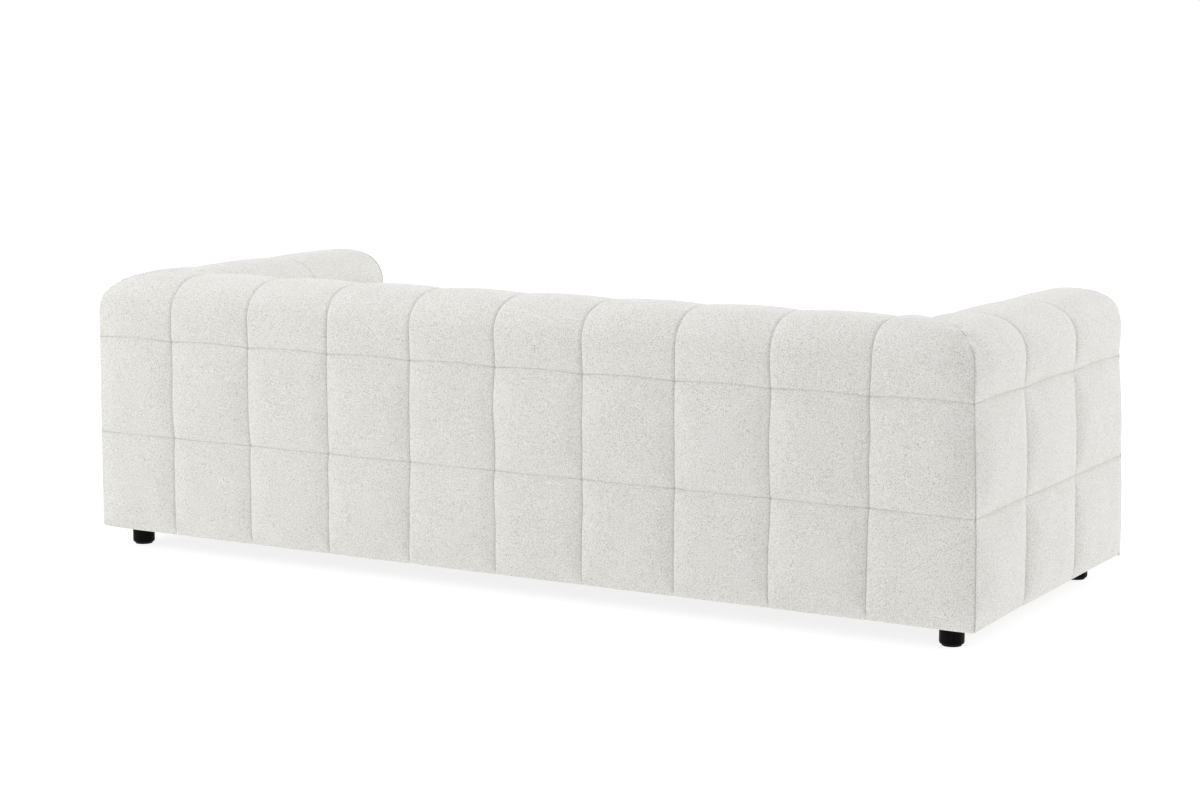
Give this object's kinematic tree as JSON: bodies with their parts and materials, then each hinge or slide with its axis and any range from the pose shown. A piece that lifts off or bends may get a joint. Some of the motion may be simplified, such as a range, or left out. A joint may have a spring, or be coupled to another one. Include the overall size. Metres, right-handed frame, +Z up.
{
  "type": "tuxedo sofa",
  "caption": "Tuxedo sofa with arms as high as the back, square tufted pads in off-white pile, loose seat cushions and low round black feet.",
  "frame": {"origin": "on the floor, under the middle of the sofa", "axes": "+Z up, +X along the length towards the sitter's left arm, the front faces -Y and the back is at +Y"},
  "size_m": [2.424, 0.96, 0.716],
  "materials": {
    "timber": "sawn and planed hardwood and plywood, unfinished",
    "hardboard": "pressed hardboard sheet, unfinished",
    "spring_steel": "drawn spring wire, plain",
    "zinc_steel": "pressed and turned steel, zinc plated",
    "elastic_webbing": "woven elastic webbing",
    "foot_plastic": "moulded black plastic, satin",
    "glide_plastic": "moulded nylon",
    "foam": "cut polyurethane foam with wadding",
    "cover_fabric": "off-white looped pile, quilted in sewn square pads",
    "black_cloth": "non-woven polypropylene cloth",
    "zip_tape": "woven zip tape with coil teeth",
    "zip_metal": "die-cast slider, nickel plated"
  },
  "bodies": {
    "sofa_frame": {"base_front_rail": "timber", "base_rear_rail": "timber", "base_left_rail": "timber", "base_right_rail": "timber", "base_inner_rail": "timber", "base_cross_rails": "timber", "corner_blocks": "timber", "front_spring_rail": "timber", "rear_spring_rail": "timber", "zigzag_springs": "spring_steel", "spring_clips": "zinc_steel", "spring_tie_wires": "spring_steel", "back_ribs": "timber", "back_joint_boards": "timber", "back_top_board": "timber", "back_outer_panel": "hardboard", "back_webbing": "elastic_webbing", "left_arm_ribs": "timber", "right_arm_ribs": "timber", "left_arm_top_board": "timber", "right_arm_top_board": "timber", "left_arm_outer_panel": "hardboard", "right_arm_outer_panel": "hardboard", "left_arm_inner_panel": "hardboard", "right_arm_inner_panel": "hardboard", "frame_bolts": "zinc_steel", "frame_washers": "zinc_steel", "frame_nuts": "zinc_steel", "foot_plates": "zinc_steel", "foot_bolts": "zinc_steel", "left_front_foot": "foot_plastic", "right_front_foot": "foot_plastic", "left_rear_foot": "foot_plastic", "right_rear_foot": "foot_plastic", "centre_foot": "foot_plastic", "foot_glides": "glide_plastic", "back_foam": "foam", "left_arm_foam": "foam", "right_arm_foam": "foam", "front_border_foam": "foam", "deck_pad": "foam", "back_cover": "cover_fabric", "left_arm_cover": "cover_fabric", "right_arm_cover": "cover_fabric", "left_arm_front_panel": "cover_fabric", "right_arm_front_panel": "cover_fabric", "seat_front_cover": "cover_fabric", "deck_cloth": "black_cloth", "dust_cover": "black_cloth"},
    "left_cushion": {"left_cushion_cover": "cover_fabric", "left_cushion_core": "foam", "left_cushion_zip": "zip_tape"},
    "right_cushion": {"right_cushion_cover": "cover_fabric", "right_cushion_core": "foam", "right_cushion_zip": "zip_tape"},
    "left_zip_pull": {"left_zip_slider": "zip_metal"},
    "right_zip_pull": {"right_zip_slider": "zip_metal"}
  },
  "joints": [
    {"name": "left_cushion_lift", "type": "slide", "parent": "sofa_frame", "child": "left_cushion", "axis": [0, 0, 1], "range_m": [0, 0.45]},
    {"name": "right_cushion_lift", "type": "slide", "parent": "sofa_frame", "child": "right_cushion", "axis": [0, 0, 1], "range_m": [0, 0.45]},
    {"name": "left_zip_slide", "type": "slide", "parent": "left_cushion", "child": "left_zip_pull", "axis": [1, 0, 0], "range_m": [0, 0.747]},
    {"name": "right_zip_slide", "type": "slide", "parent": "right_cushion", "child": "right_zip_pull", "axis": [-1, 0, 0], "range_m": [0, 0.747]}
  ]
}
